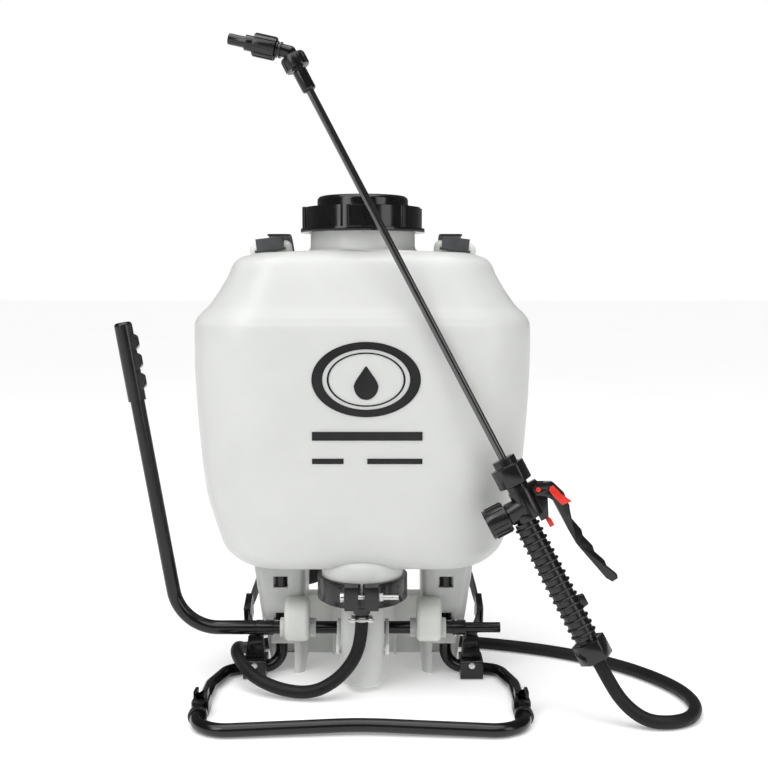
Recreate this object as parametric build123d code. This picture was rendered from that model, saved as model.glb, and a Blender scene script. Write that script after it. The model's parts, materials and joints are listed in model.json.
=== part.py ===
from build123d import *
import os
from math import cos, pi, radians, sin, tan

# Backpack sprayer, in millimetres. The work frame has +Z up, the floor at Z = 0, the filler
# neck on the Z axis and the wearer's back on the +Y side. At export everything moves by SHIFT,
# so that the origin ends on the floor under the middle of the sprayer's box.

# ---- driving dimensions -------------------------------------------------------------------
WALL = 3.0                      # tank wall
NECK_R = 56.4                   # filler neck, outside
NECK_TOP = 507.0
CAP_R = 62.5                    # cap skirt, between its ribs
CAP_TOP = 528.0

PUMP_Y = -47.5                  # pump axis, in front of the tank's axis
THROAT_R = 43.4                 # tank throat that the pump hangs from
CLAMP_R = 48.0
CLAMP_LOW = 101.0
CLAMP_HIGH = 125.5

SHAFT_Y = -16.0                 # rocking shaft under the tank
SHAFT_Z = 56.5
SHAFT_R = 6.9
CRANK = SHAFT_Y - PUMP_Y        # from the shaft to the pump axis
CRANK_ANGLE = 20.0              # the crank hangs this far below level at rest
PIN_Z = SHAFT_Z + CRANK * tan(radians(-CRANK_ANGLE))
BLOCK_X = 72.2                  # bearing blocks, each side of the pump
BLOCK_W = 27.0
RUN_FIT = 0.08                  # shaft in bush
STUB_FROM = 113.0               # bare shaft end on the right
STUB_TO = 151.0
STUB_R = 5.68

OUTLET_Y = PUMP_Y - 36.0         # hose outlet, in front of the pump
PUMP_R = 23.5                   # sliding pump cylinder
PUMP_LOW = 5.0
PUMP_HIGH = 93.0
PISTON_R = 19.6

TUBE_R = 6.75                   # frame tube
TUBE_WALL = 1.5
POST_X = 92.0                   # frame posts
POST_Y = 6.0
FOOT_Z = 7.0                    # centre of the tube that lies on the floor

LEG_TOP = 126.8
ANCHOR_X = -119.5               # left strap anchor
LEG_FRONT = -3.0
WALL_Y = 72.0
WALL_TOP = 75.5
REAR_Y = 78.0                   # back of the base

LEVER_R = 7.7
LEVER_BEND = 50.0
LEVER_LEAN = 9.7                # degrees outward

LANCE_R = 4.0
NUT_AF = 31.4                   # across flats, both nuts of the gun
GRIP_OFFSET = -9.5              # grip axis beside the lance axis
GRIP_LOW = -146.0
GAP = 0.3                       # between bodies that turn or slide

HOSE_D = 13.5
PAD_W = 58.0
PAD_T = 11.0
WEB_W = 25.0
WEB_T = 2.4

UP = (Align.CENTER, Align.CENTER, Align.MIN)
SIDES = (-1, 1)


# ---- helpers ------------------------------------------------------------------------------
def disc(r, low, high, x=0.0, y=0.0):
    """An upright cylinder between two heights."""
    return Pos(x, y, low) * Cylinder(r, high - low, align=UP)


def ring(r_out, r_in, low, high, x=0.0, y=0.0):
    return disc(r_out, low, high, x, y) - disc(r_in, low - 1, high + 1, x, y)


def rod(start, end, r):
    """A cylinder from one point to another."""
    run = Vector(*end) - Vector(*start)
    place = Plane(origin=start, z_dir=run).location
    return place * Cylinder(r, run.length, align=UP)


def block(x0, x1, y0, y1, z0, z1):
    return Pos((x0 + x1) / 2, (y0 + y1) / 2, (z0 + z1) / 2) * Box(x1 - x0, y1 - y0, z1 - z0)


def hexagon(across, low, high):
    outline = RegularPolygon(across / 2, 6, major_radius=False)
    return Pos(0, 0, low) * extrude(outline, high - low)


def bent_tube(points, r, radii, wall):
    path = FilletPolyline(*points, radius=radii)
    place = Plane(origin=path @ 0, z_dir=path % 0)
    return sweep(place * Circle(r), path=path) - sweep(place * Circle(r - wall), path=path)


def soften(shape, edges, r):
    """Round edges, with a smaller radius where the full one does not fit."""
    for size in (r, r * 0.6, r * 0.3):
        try:
            return fillet(edges, size)
        except Exception:
            continue
    return shape


def mirror_x(shape):
    return mirror(shape, about=Plane.YZ)


# ---- tank ---------------------------------------------------------------------------------
STRAP_TILT = 7.0
EAR_X = 100.0
EAR_Z = 475.0


def on_ear(side, shape):
    centre = Pos(side * EAR_X, 0, EAR_Z)
    return centre * Rot(0, side * STRAP_TILT, 0) * shape


# height, half width, front, back, corner radius
TANK_SECTIONS = (
    (127, 120, -64, 44, 42),
    (130, 130, -76, 54, 50),
    (136, 138, -84, 62, 56),
    (142, 144, -88.5, 67, 60),
    (149, 149, -91.5, 70.5, 62),
    (160, 153, -94, 74, 65),
    (178, 158, -97, 77, 67),
    (214, 167.5, -100, 80, 70),
    (274, 174, -102, 82, 72),
    (340, 178, -103, 83, 74),
    (384, 178.5, -101, 82, 74),
    (397, 176.5, -98, 80, 73),
    (405, 170, -95, 77, 71),
    (412, 163, -92, 74, 68),
    (424, 154, -88, 70, 64),
    (442, 143, -82, 64, 58),
    (457, 135.5, -75, 58, 52),
    (463.5, 126, -68, 52, 46),
    (467, 108, -60, 46, 40),
    (469.5, 84, -56, 44, 36),
)


def tank_body(inset):
    wires = []
    last = len(TANK_SECTIONS) - 1
    for i, (z, half, front, back, corner) in enumerate(TANK_SECTIONS):
        lift = inset if i == 0 else -inset if i == last else 0.0
        place = Pos(0, (front + back) / 2, z + lift)
        depth = back - front - 2 * inset
        wires.append(place * RectangleRounded(2 * (half - inset), depth, corner - inset))
    return loft(wires, ruled=True)


def ear(side):
    """Lug on the shoulder that a strap clip snaps over."""
    lug = block(-23, 23, -4, 22, -20, 5)
    lug = soften(lug, lug.edges().filter_by(Axis.Y), 9)
    return on_ear(side, lug - block(-15.2, 15.2, 4, 12.4, -6.5, 9))


def tank_shell():
    outside = tank_body(0.0) + disc(THROAT_R, 108.5, 150, y=PUMP_Y)
    outside = outside + disc(NECK_R, 460, NECK_TOP) + ear(-1) + ear(1)
    for z in (493, 500.5):
        outside = outside + ring(57.7, 50, z, z + 3)
    mouth = disc(NECK_R - WALL - 0.6, 450, NECK_TOP + 5)
    throat = disc(THROAT_R - WALL, 100, 160, y=PUMP_Y)
    return outside - tank_body(WALL) - mouth - throat


def filler_strainer():
    wall = ring(52.4, 50.9, 418, NECK_TOP + 1.6) + ring(55.6, 50.9, NECK_TOP + 0.2, NECK_TOP + 1.6)
    wall = wall + disc(52.4, 416.5, 418)
    for k in range(8):
        wall = wall - Rot(0, 0, k * 45) * block(40, 60, -13, 13, 428, 484)
    return wall


def filler_cap():
    cap = disc(CAP_R, 493.4, 516) + disc(67.0, 489, 493.4)
    crown = disc(49, 515, CAP_TOP)
    cap = cap + soften(crown, crown.edges().group_by(Axis.Z)[-1], 5)
    for k in range(6):
        rib = block(54, 66.2, -4, 4, 493, 516)
        cap = cap + Rot(0, 0, 15 + k * 60) * soften(rib, rib.edges().filter_by(Axis.Z), 2)
    grip = disc(38, CAP_TOP - 7, CAP_TOP + 1) - block(-40, 40, -6.5, 6.5, 510, 540)
    return cap - grip - disc(58.4, 480, NECK_TOP + 4.2)


def cap_gasket():
    return ring(57.6, 51.2, NECK_TOP + 1.9, NECK_TOP + 3.8)


# ---- pump ---------------------------------------------------------------------------------
def pump_head():
    """Plug of the throat, with a pocket that the sliding cylinder rises into."""
    head = disc(THROAT_R, 98, 108.2, y=PUMP_Y) + disc(38.6, 105, 121, y=PUMP_Y)
    head = head + rod((0, OUTLET_Y, 92), (0, OUTLET_Y, 99), 8.6) - disc(PUMP_R + 1.1, 90, 118, y=PUMP_Y)
    return head - disc(PISTON_R - 0.02, 110, 125, y=PUMP_Y) - rod((0, OUTLET_Y, 90), (0, OUTLET_Y, 104), 3)


def pump_head_seal():
    return ring(40.35, 38.65, 111, 114.5, y=PUMP_Y)


def band_clamp():
    """Two half bands with bolt lugs at the front."""
    half = ring(CLAMP_R, THROAT_R + 0.05, CLAMP_LOW, CLAMP_HIGH, y=PUMP_Y)
    half = half - block(-60, 1.2, -110, 10, 90, 130)
    wing = Polygon((3.4, -107), (17.5, -107), (17.5, -95), (40, -74), (30, -76), (3.4, -92), align=None)
    lug = extrude(Pos(0, 0, CLAMP_LOW) * wing, CLAMP_HIGH - CLAMP_LOW, dir=(0, 0, 1))
    half = half + (lug - disc(CLAMP_R - 0.6, 90, 130, y=PUMP_Y))
    half = half - rod((0, -100, 113.5), (60, -100, 113.5), 2.6)
    return [half, mirror_x(half)]


def clamp_bolt():
    head = rod((-22, -100, 113.5), (-17.6, -100, 113.5), 5.0)
    return head + rod((-18, -100, 113.5), (38, -100, 113.5), 2.5)


def clamp_nut():
    nut = Plane(origin=(17.6, -100, 113.5), z_dir=(1, 0, 0)).location * hexagon(8, 0, 4.6)
    return nut - rod((10, -100, 113.5), (30, -100, 113.5), 2.52)


def piston_tube():
    tube = ring(PISTON_R - 0.05, 16, 44, 120.9, y=PUMP_Y)
    return tube + ring(PISTON_R - 0.05, 6, 40, 46, y=PUMP_Y) - ring(25, 18.2, 47, 50, y=PUMP_Y)


def piston_seal():
    return ring(19.95, 18.22, 47.05, 49.95, y=PUMP_Y)


def pump_cylinder():
    body = disc(PUMP_R, PUMP_LOW, PUMP_HIGH, y=PUMP_Y)
    body = soften(body, body.edges().group_by(Axis.Z)[0], 7)
    for side in SIDES:
        body = body + rod((side * 18, PUMP_Y, PIN_Z), (side * 24.1, PUMP_Y, PIN_Z), 7)
        body = body - rod((side * 21.2, PUMP_Y, PIN_Z), (side * 40, PUMP_Y, PIN_Z), 3.0)
    return body - disc(20.0, PUMP_LOW + 3.5, 120, y=PUMP_Y)


def trunnion_pins():
    return [rod((side * 21.3, PUMP_Y, PIN_Z), (side * 28.6, PUMP_Y, PIN_Z), 2.95) for side in SIDES]


def crank_arms():
    """Two slotted plates on the shaft, one each side of the pump cylinder."""
    arms = []
    short = CRANK - 0.5
    long = CRANK / cos(radians(CRANK_ANGLE)) + 0.5
    tip = long + 3.0
    for side in SIDES:
        near, far = sorted((side * 24.5, side * 28.4))
        plate = block(near, far, -tip, 0, -6.5, 6.5) + rod((near, 0, 0), (far, 0, 0), 9.6)
        plate = plate + rod((near, -tip, 0), (far, -tip, 0), 6.5)
        plate = plate - rod((near - 1, 0, 0), (far + 1, 0, 0), SHAFT_R + 0.02)
        slot = rod((near - 1, -short, 0), (far + 1, -short, 0), 3.3)
        slot = slot + rod((near - 1, -long, 0), (far + 1, -long, 0), 3.3)
        slot = slot + block(near - 1, far + 1, -long, -short, -3.3, 3.3)
        arms.append(Pos(0, SHAFT_Y, SHAFT_Z) * Rot(CRANK_ANGLE, 0, 0) * (plate - slot))
    return arms


def pump_shaft():
    return rod((-106, SHAFT_Y, SHAFT_Z), (106, SHAFT_Y, SHAFT_Z), SHAFT_R)


def pressure_chamber():
    shell = disc(31, 121.2, 262, y=PUMP_Y)
    shell = soften(shell, shell.edges().group_by(Axis.Z)[-1], 14)
    return shell - disc(28.5, 120, 246, y=PUMP_Y)


def inlet_screen():
    return ring(37.5, 35.5, 121.2, 134, y=PUMP_Y)


def outlet_barb():
    stem = rod((0, OUTLET_Y, 76), (0, OUTLET_Y, 91.9), 4.6)
    for z in (78, 82, 86):
        stem = stem + Pos(0, OUTLET_Y, z) * Cone(4.7, 5.3, 2.6, align=UP)
    return stem - rod((0, OUTLET_Y, 70), (0, OUTLET_Y, 95), 2.6)


def hose_clamp():
    wires = ring(7.9, 6.85, 84.5, 86, y=OUTLET_Y) + ring(7.9, 6.85, 87.8, 89.3, y=OUTLET_Y)
    ear = block(7.3, 11, OUTLET_Y - 10, OUTLET_Y + 3, 84.8, 89)
    return wires + ear + mirror_x(ear) + rod((-14, OUTLET_Y - 8.8, 86.9), (13, OUTLET_Y - 8.8, 86.9), 1.5)


# ---- base and frame -----------------------------------------------------------------------
def leg_wedge(inset, low, high):
    """Tapered upright box of the left leg."""
    bottom = Polygon((-104 + inset, LEG_FRONT + inset), (-66 - inset, LEG_FRONT + inset),
                     (-66 - inset, REAR_Y - inset), (-104 + inset, REAR_Y - inset), align=None)
    top = Polygon((-123 + inset, LEG_FRONT + inset), (-64 - inset, LEG_FRONT + inset),
                  (-64 - inset, REAR_Y - 4 - inset), (-123 + inset, REAR_Y - 4 - inset), align=None)
    return loft([Pos(0, 0, low) * bottom, Pos(0, 0, high) * top], ruled=True)


SLEEVES = ((34, 60), (69, 97.5), (110, LEG_TOP - 3))
WINDOWS = ((60, 69), (97.5, 110))
POST_TOP = 118.0


def base_skirt():
    leg = leg_wedge(0, 0, LEG_TOP)
    leg = soften(leg, leg.edges().filter_by(lambda e: abs((e % 0.5).Z) > 0.6), 9)
    leg = leg - leg_wedge(3, -1, LEG_TOP - 3)
    for low, high in SLEEVES:
        sleeve = block(-POST_X - 8.9, -POST_X + 8.9, POST_Y, 12, low, high)
        leg = leg + disc(8.9, low, high, -POST_X, POST_Y) + sleeve
    leg = leg - disc(TUBE_R + 0.05, 20, POST_TOP + 0.4, -POST_X, POST_Y)
    for low, high in WINDOWS:
        leg = leg - block(-POST_X - 8, -POST_X + 8, -20, POST_Y, low, high)
    leg = leg - block(-108, -77, -20, 18, -2, 34) - block(-130, -103, -20, 18, -2, 44)
    base = leg + mirror_x(leg) + block(-72, 72, WALL_Y - 3, WALL_Y, 0, WALL_TOP)
    base = base + block(-72, 72, WALL_Y - 12, WALL_Y - 2, WALL_TOP - 5, WALL_TOP - 2)
    for x in (-36, 0, 36):
        base = base + block(x - 1.5, x + 1.5, WALL_Y - 12, WALL_Y - 2, 0, WALL_TOP - 4)
    return base


def bearing_block(side):
    """Pillow block that carries the shaft, with an arm back to the base leg."""
    x = side * BLOCK_X
    body = block(x - BLOCK_W / 2, x + BLOCK_W / 2, -37, LEG_FRONT - 0.05, 45, 88)
    crest = body.edges().filter_by(Axis.X).group_by(Axis.Z)[-1].sort_by(Axis.Y)[0]
    body = soften(body, [crest], 17)
    body = soften(body, body.edges().filter_by(Axis.X).group_by(Axis.Z)[0], 9)
    body = soften(body, body.edges().group_by(Axis.X)[0] + body.edges().group_by(Axis.X)[-1], 5)
    inner = x - side * BLOCK_W / 2
    body = body + rod((inner, SHAFT_Y, SHAFT_Z), (inner - side * 7, SHAFT_Y, SHAFT_Z), 10.2)
    return body - rod((x - 40, SHAFT_Y, SHAFT_Z), (x + 40, SHAFT_Y, SHAFT_Z), 8.62)


def bearing_bushes():
    bushes = []
    for side in SIDES:
        inner = side * (BLOCK_X - BLOCK_W / 2 - 6)
        outer = side * (BLOCK_X + BLOCK_W / 2 + 0.4)
        bush = rod((inner, SHAFT_Y, SHAFT_Z), (outer, SHAFT_Y, SHAFT_Z), 8.6)
        bush = bush + rod((outer, SHAFT_Y, SHAFT_Z), (outer + side * 5, SHAFT_Y, SHAFT_Z), 10.8)
        bore = rod((inner - side, SHAFT_Y, SHAFT_Z), (outer + side * 9, SHAFT_Y, SHAFT_Z), SHAFT_R + RUN_FIT)
        bushes.append(bush - bore)
    return bushes


FRAME_POINTS = (
    (-POST_X, POST_Y, POST_TOP),
    (-POST_X, POST_Y, FOOT_Z),
    (-150, -13, FOOT_Z),
    (-162, -60, FOOT_Z),
    (-162, -189, FOOT_Z),
)
FRAME_BENDS = [18, 22, 40, 34]
RAIL_RISE = 2.5


def frame_tube():
    """Posts, side arms and a front rail with a slight rise at its middle, in one tube."""
    right = [(-x, y, z) for x, y, z in reversed(FRAME_POINTS)]
    points = list(FRAME_POINTS) + [(0, -177, FOOT_Z + RAIL_RISE)] + right
    return bent_tube(points, TUBE_R, FRAME_BENDS + [300] + FRAME_BENDS[::-1], TUBE_WALL)


def strap_anchor():
    """Left anchor: a clamp round the foot tube with a raised bar for the strap."""
    foot = block(ANCHOR_X - 12.5, ANCHOR_X + 12.5, -26, 9, 0.4, 21.5)
    foot = soften(foot, foot.edges().filter_by(Axis.X), 3)
    neck = Plane(origin=(ANCHOR_X, -8, 21), x_dir=(1, 0, 0), z_dir=(0, 0.1, 1)).location
    post = neck * extrude(Rectangle(21, 15), 23, taper=6)
    post = post - block(ANCHOR_X - 7, ANCHOR_X + 7, -25, 15, 31, 37)
    start = Vector(-POST_X, POST_Y, FOOT_Z)
    run = (Vector(*FRAME_POINTS[2]) - start).normalized()
    anchor = foot + post - rod(tuple(start + run * 5), tuple(start + run * 70), TUBE_R + 0.05)
    return anchor - rod((ANCHOR_X, -30, 16.8), (ANCHOR_X, -18, 16.8), 2.3)


def anchor_screws():
    screw = rod((ANCHOR_X, -27, 16.8), (ANCHOR_X, -18.5, 16.8), 2.2)
    screw = screw + rod((ANCHOR_X, -28.2, 16.8), (ANCHOR_X, -26.1, 16.8), 3.6)
    return [screw, mirror_x(screw)]


def wand_clip():
    """Left wand clip: a collar on the foot tube and an open jaw behind it."""
    x = FRAME_POINTS[3][0]
    collar = rod((x, -151, FOOT_Z), (x, -143, FOOT_Z), 9.6)
    body = block(x - 8.6, x + 8.6, -134, -114, 0.4, 17.5)
    body = soften(body, body.edges().filter_by(Axis.Y), 2.5)
    jaw = block(x - 6.9, x + 6.9, -131, -116, 15, 25)
    spine = block(x - 4, x + 4, -146, -130, 12.2, 15.5)
    clip = collar + body + jaw + spine - block(x - 3.6, x + 3.6, -136, -110, 17.6, 30)
    clip = clip - rod((x, -160, FOOT_Z), (x, -95, FOOT_Z), TUBE_R + 0.05)
    return clip - block(x - 20, x + 20, -160, -90, -10, 0.4)


# ---- straps -------------------------------------------------------------------------------
def strap_clip(side):
    """Hook that snaps over the tank's ear."""
    clip = block(-14.5, 14.5, -12, -4.4, -6, 8.6) + block(-14.5, 14.5, -12, 10.4, 5.4, 8.6)
    clip = clip + block(-16.5, 16.5, -14, -4.4, -6, -3.4) + block(-14, 14, 6, 10.4, -5, 8)
    return on_ear(side, clip)


def strap_run(path, width, thick, x):
    """A flat strap that follows a line in the YZ plane."""
    face = Plane.YZ * trace(Polyline(*path), thick)
    return Pos(x, 0, 0) * extrude(face, width / 2, both=True)


UPPER_WEB = ((9, 487.4), (32, 485.6), (66, 472), (88, 446), (94.5, 424))
PAD_LINE = ((94, 421), (93.5, 340), (93, 250), (91.5, 160))
PAD_X = {-1: -78.0, 1: 92.0}


def upper_webbing():
    return [strap_run(UPPER_WEB, WEB_W, WEB_T, x) for x in (-92, 96)]


def shoulder_pad(side):
    low = 76 if side < 0 else 96
    return strap_run(PAD_LINE + ((91.0, low),), PAD_W, PAD_T, PAD_X[side])


def ribbon(points, flats, width, thick):
    """A flat band through points; flats are the directions that its faces look in."""
    sections = []
    last = len(points) - 1
    for i, (point, flat) in enumerate(zip(points, flats)):
        run = Vector(*points[min(i + 1, last)]) - Vector(*points[max(i - 1, 0)])
        across = Vector(*flat).cross(run)
        sections.append(Plane(origin=point, x_dir=across, z_dir=run) * Rectangle(width, thick))
    return loft(sections, ruled=True)


LOWER_WEB = (
    (-98, 102.4, 88),
    (-123, 99.5, 82),
    (-127.5, 58, 76),
    (-130.5, 24, 62),
    (-126.5, 9, 51),
    (-119.5, 2.6, 39),
)
LOWER_FLATS = (
    (0, 1, 0),
    (-0.5, 1, 0),
    (-1, 0.3, 0),
    (-1, -0.1, 0),
    (-0.8, -0.6, 0.2),
    (-0.2, -1, 0.3),
)


def lower_webbing():
    left = ribbon(LOWER_WEB, LOWER_FLATS, 18, WEB_T)
    right = [(-x, y, z + (4 if y > 50 else 0)) for x, y, z in LOWER_WEB]
    return [left, ribbon(right, [(-x, y, z) for x, y, z in LOWER_FLATS], 18, WEB_T)]


def strap_buckles():
    """Ladder locks where the lower straps are tightened."""
    place = Plane(origin=(-131, 26, 63), x_dir=(0, 1, 0.35), z_dir=(-1, 0, 0)).location
    frame = Box(30, 27, 7.5) - Box(25, 20, 5.2)
    frame = frame - Pos(-7, 0, 0) * Box(5, 19, 20) - Pos(7, 0, 0) * Box(5, 19, 20)
    frame = frame - Box(40, 19.4, 3.6)
    left = place * frame
    return [left, mirror_x(left)]


# ---- lever --------------------------------------------------------------------------------
LEVER_FOOT = 201.5
LEVER_TOP_Z = 389.0


def lever_x(z):
    return -LEVER_FOOT - (z - SHAFT_Z) * tan(radians(LEVER_LEAN))


def lever_tube():
    corner = (-LEVER_FOOT, SHAFT_Y, SHAFT_Z)
    points = ((-118.5, SHAFT_Y, SHAFT_Z), corner, (lever_x(LEVER_TOP_Z), SHAFT_Y, LEVER_TOP_Z))
    bore = rod((-110, SHAFT_Y, SHAFT_Z), (-142, SHAFT_Y, SHAFT_Z), SHAFT_R + 0.02)
    return bent_tube(points, LEVER_R, LEVER_BEND, TUBE_WALL) - bore


def lever_grip():
    foot = (lever_x(308), SHAFT_Y, 308)
    top = (lever_x(392.5), SHAFT_Y, 392.5)
    place = Plane(origin=foot, x_dir=(1, 0, 0), z_dir=Vector(*top) - Vector(*foot)).location
    sleeve = disc(9.6, 0, 86)
    sleeve = soften(sleeve, sleeve.edges().group_by(Axis.Z)[-1], 4)
    for z in (20, 42, 63):
        bump = Pos(4.6, 0, z) * Rot(90, 0, 0) * Cylinder(9.5, 13)
        sleeve = sleeve + (bump & disc(13.6, 0, 86))
    bore = rod(foot, (lever_x(LEVER_TOP_Z), SHAFT_Y, LEVER_TOP_Z), LEVER_R + 0.02)
    return place * sleeve - bore - rod((lever_x(300), SHAFT_Y, 300), foot, 12)


def shaft_collar(start, end, bore):
    collar = rod(start, end, 8.2)
    collar = soften(collar, collar.edges(), 1)
    return collar - rod(start, end, bore)


def left_shaft_adapter():
    collar = shaft_collar((-98.3, SHAFT_Y, SHAFT_Z), (-118.2, SHAFT_Y, SHAFT_Z), SHAFT_R + 0.02)
    return collar - pin_at(-108, 1.64)


def right_shaft_adapter():
    collar = shaft_collar((98.3, SHAFT_Y, SHAFT_Z), (STUB_FROM, SHAFT_Y, SHAFT_Z), 5.42)
    return collar - rod((90, SHAFT_Y, SHAFT_Z), (106.1, SHAFT_Y, SHAFT_Z), SHAFT_R + 0.02) - pin_at(102, 1.64)


def shaft_stub():
    """Bare end on the right, where the lever fits when it is moved across."""
    stub = rod((106.2, SHAFT_Y, SHAFT_Z), (STUB_FROM + 1, SHAFT_Y, SHAFT_Z), 5.4)
    stub = stub + rod((STUB_FROM, SHAFT_Y, SHAFT_Z), (STUB_TO, SHAFT_Y, SHAFT_Z), STUB_R)
    return stub - rod((STUB_FROM, SHAFT_Y, SHAFT_Z), (STUB_TO + 1, SHAFT_Y, SHAFT_Z), 4.4)


def pin_at(x, r):
    return rod((x, SHAFT_Y, SHAFT_Z - 10), (x, SHAFT_Y, SHAFT_Z + 10), r)


def lever_pins():
    return [pin_at(-108, 1.6), pin_at(102, 1.6)]


# ---- gun: its own frame has +Z up the lance and +X towards the trigger --------------------------
GUN_ORIGIN = (163.8, -127.8, 218.0)
LANCE_DIR = (-0.4633, 0.0969, 0.8809)
GUN = Plane(origin=GUN_ORIGIN, x_dir=(0.885, 0, 0.4655), z_dir=LANCE_DIR)
ELBOW_Z = 508.0
NOZZLE_TILT = 49.2
NOZZLE_DIR = (-sin(radians(NOZZLE_TILT)), 0, cos(radians(NOZZLE_TILT)))
NOZZLE = Plane(origin=(0, 0, ELBOW_Z), x_dir=(NOZZLE_DIR[2], 0, -NOZZLE_DIR[0]), z_dir=NOZZLE_DIR)
VALVE_Z = -4.0
TRIGGER_PIVOT = (16.5, 6.3)
LOCK_PIVOT = (29.5, -0.5)


def plate(outline, y0, y1):
    """A flat piece with an outline in the gun's XZ plane, between two Y values."""
    face = Plane.XZ * Polygon(*outline, align=None)
    return Pos(0, y1, 0) * extrude(face, y1 - y0, dir=(0, -1, 0))


def cross_pin(centre, r, half):
    x, z = centre
    return rod((x, -half, z), (x, half, z), r)


BODY_SIDE = ((0, 16), (19, 16), (21, 9), (21, -6), (13, -23), (5, -23), (5, -16.5), (0, -16.5))


def gun_body():
    x = GRIP_OFFSET
    body = disc(12, -16, 14) + disc(10.8, 12, 35) + rod((0, 0, VALVE_Z), (-21, 0, VALVE_Z), 11.5)
    body = body + rod((-20, 0, VALVE_Z), (-34, 0, VALVE_Z), 10.6)
    body = body + plate(BODY_SIDE, -6.2, 6.2)
    body = body + disc(8.2, -150, -12, x=x) + disc(12.5, -17, -10, x=x / 2) + disc(9.4, -162, -148, x=x)
    body = body - disc(4.06, 22, 36) - disc(2.6, -16, 23) - disc(3, -163, -10, x=x)
    body = body - rod((-35, 0, VALVE_Z), (-9, 0, VALVE_Z), 6.4)
    body = body - rod((-10, 0, VALVE_Z), (30, 0, VALVE_Z), 2.9)
    return GUN.location * (body - cross_pin(TRIGGER_PIVOT, 2.42, 20))


def grip_shell():
    """Ribbed sleeve pressed over the grip tube."""
    x = GRIP_OFFSET
    shell = disc(11.2, GRIP_LOW, -17.2, x=x)
    pitch = 7.9
    for k in range(16):
        z = -22.6 - k * pitch
        shell = shell + disc(13.5, z - 2.1, z + 2.1, x=x)
    shell = shell + block(x + 9, x + 18, -3.5, 3.5, -119, -105)
    return GUN.location * (shell - disc(8.22, GRIP_LOW - 1, 0, x=x))


def wand_nut():
    nut = hexagon(NUT_AF, 20.6, 40.6)
    nut = nut & disc(NUT_AF / 2 + 1.7, 20, 41)
    nut = nut + disc(12, 40.6, 48.5)
    return GUN.location * (nut - disc(11.1, 15, 36) - disc(LANCE_R + GAP, 30, 50))


def hose_nut():
    nut = hexagon(NUT_AF, -170, -149.5) & disc(NUT_AF / 2 + 1.7, -171, -149)
    nut = nut - disc(9.7, -163.5, -140) - disc(HOSE_D / 2 + 0.5, -175, -160)
    return GUN.location * Pos(GRIP_OFFSET, 0, 0) * nut


def valve_cap():
    """Ribbed knob over the valve spring."""
    axis = Plane(origin=(-22.2, 0, VALVE_Z), x_dir=(0, 1, 0), z_dir=(-1, 0, 0)).location
    cap = disc(15.2, 0, 21.8)
    for k in range(16):
        cap = cap + Rot(0, 0, k * 22.5) * block(14.6, 16.2, -1.1, 1.1, 1.5, 18.5)
    cap = cap - disc(10.9, -1, 13.5) - disc(4.4, 16.5, 30)
    return GUN.location * axis * cap


def valve_spring():
    place = Plane(origin=(-32.6, 0, VALVE_Z), z_dir=(1, 0, 0)).location
    wire = Helix(2.6, 13, 4.6)
    coil = sweep(Plane(origin=wire @ 0, z_dir=wire % 0) * Circle(0.6), path=wire)
    return GUN.location * place * coil


def valve_stem():
    stem = rod((-30, 0, VALVE_Z), (24.2, 0, VALVE_Z), 2.5) + rod((-16, 0, VALVE_Z), (-12, 0, VALVE_Z), 5.9)
    return GUN.location * stem


HEAD = ((12, 10), (14, 12), (20, 12.6), (33, 6), (37.5, -7), (36.5, -22), (31, -30), (24.6, -28),
        (24.6, -10), (20, -3), (12.4, 2))
ARM = ((24.8, -12), (36.5, -21), (32.6, -34), (36, -48), (34.6, -54), (38.4, -67), (37.2, -73), (42, -85.5),
       (41.4, -91), (46.6, -103), (45.6, -107), (39, -107.6), (35.2, -101.5), (25.4, -60), (24.6, -42))


def trigger_lever():
    head = plate(HEAD, -9.2, 9.2) - plate(((0, 30), (24.7, 30), (24.7, -40), (0, -40)), -6.5, 6.5)
    arm = plate(ARM, -7.5, 7.5)
    arm = soften(arm, arm.edges().filter_by(Axis.Y), 1.2)
    lever = head + arm - cross_pin(TRIGGER_PIVOT, 2.42, 20) - cross_pin(LOCK_PIVOT, 2.22, 20)
    return GUN.location * lever


def trigger_pin():
    return GUN.location * (cross_pin(TRIGGER_PIVOT, 2.34, 10.4))


def lock_pin():
    return GUN.location * (cross_pin(LOCK_PIVOT, 2.2, 9.2) + rod((29.5, -13.6, -0.5), (29.5, 0, -0.5), 1.6))


def trigger_lock():
    x, z = LOCK_PIVOT
    outline = ((25.5, 1), (28, 3.8), (31.5, 3.4), (34.5, -7.5), (40.5, -18.6), (30, -17.5), (26.5, -6))
    lock = plate(outline, -12.4, -9.6)
    return GUN.location * (lock - rod((x, -20, z), (x, 0, z), 1.68))


def trigger_catch():
    return GUN.location * plate(((9.8, -23.05), (13, -23.05), (14.8, -26), (14.8, -33), (9.8, -33)), -3, 3)


def lance_tube():
    return GUN.location * ring(LANCE_R, 2.6, 23, 470)


def lance_ferrule():
    bulb = disc(7.2, 464, 488)
    bulb = soften(bulb, bulb.edges(), 2.5) - disc(LANCE_R + 0.02, 460, 470.02) - disc(2.6, 460, 480)
    return GUN.location * (bulb - disc(5.06, 476, 490))


def elbow():
    body = disc(5.0, 477, 506) + disc(6.6, 489, ELBOW_Z) + Pos(0, 0, ELBOW_Z) * Sphere(6.6)
    arm = disc(6.6, 0, 16) + disc(8.2, 8.5, 10.4) + disc(8.2, 12.2, 14.1) + disc(7.4, 14, 30)
    body = body + NOZZLE.location * arm
    body = body - disc(2.4, 470, ELBOW_Z) - NOZZLE.location * disc(2.4, 0, 40)
    return GUN.location * (body - NOZZLE.location * disc(5.1, 25, 40))


def elbow_nut():
    nut = disc(12.2, 489.5, 503)
    for k in range(12):
        nut = nut + Rot(0, 0, 30 * k) * block(11.5, 12.9, -1.2, 1.2, 490.5, 502)
    return GUN.location * (nut - disc(6.9, 480, 510))


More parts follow.
